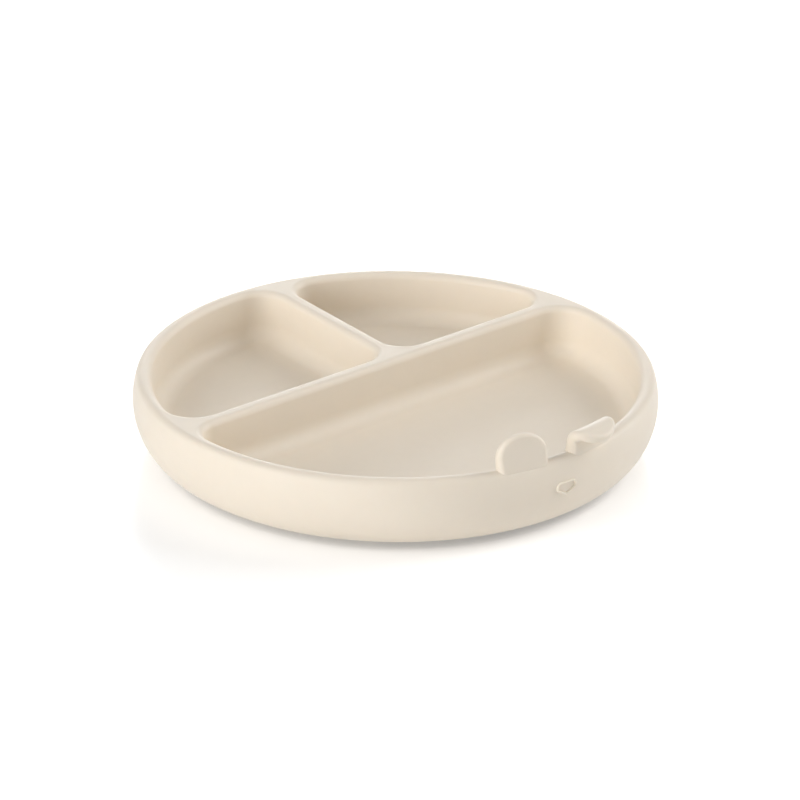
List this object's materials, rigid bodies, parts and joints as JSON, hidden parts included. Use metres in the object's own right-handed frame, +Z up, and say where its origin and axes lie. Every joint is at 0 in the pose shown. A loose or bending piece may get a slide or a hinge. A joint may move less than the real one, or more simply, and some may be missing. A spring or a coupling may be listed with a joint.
{
  "type": "baby suction plate",
  "caption": "Round soft silicone plate for a small child, with divided pockets, a shallow suction base, small ears on the rim and a raised nose on the wall.",
  "frame": {"origin": "on the table, on the axis of the round body", "axes": "+Z up, -Y towards the nose and the ears, +X to the right for someone facing the nose"},
  "size_m": [0.19, 0.1935, 0.0429],
  "materials": {
    "silicone": "matt silicone"
  },
  "bodies": {
    "root": {"plate": "silicone"}
  },
  "joints": []
}
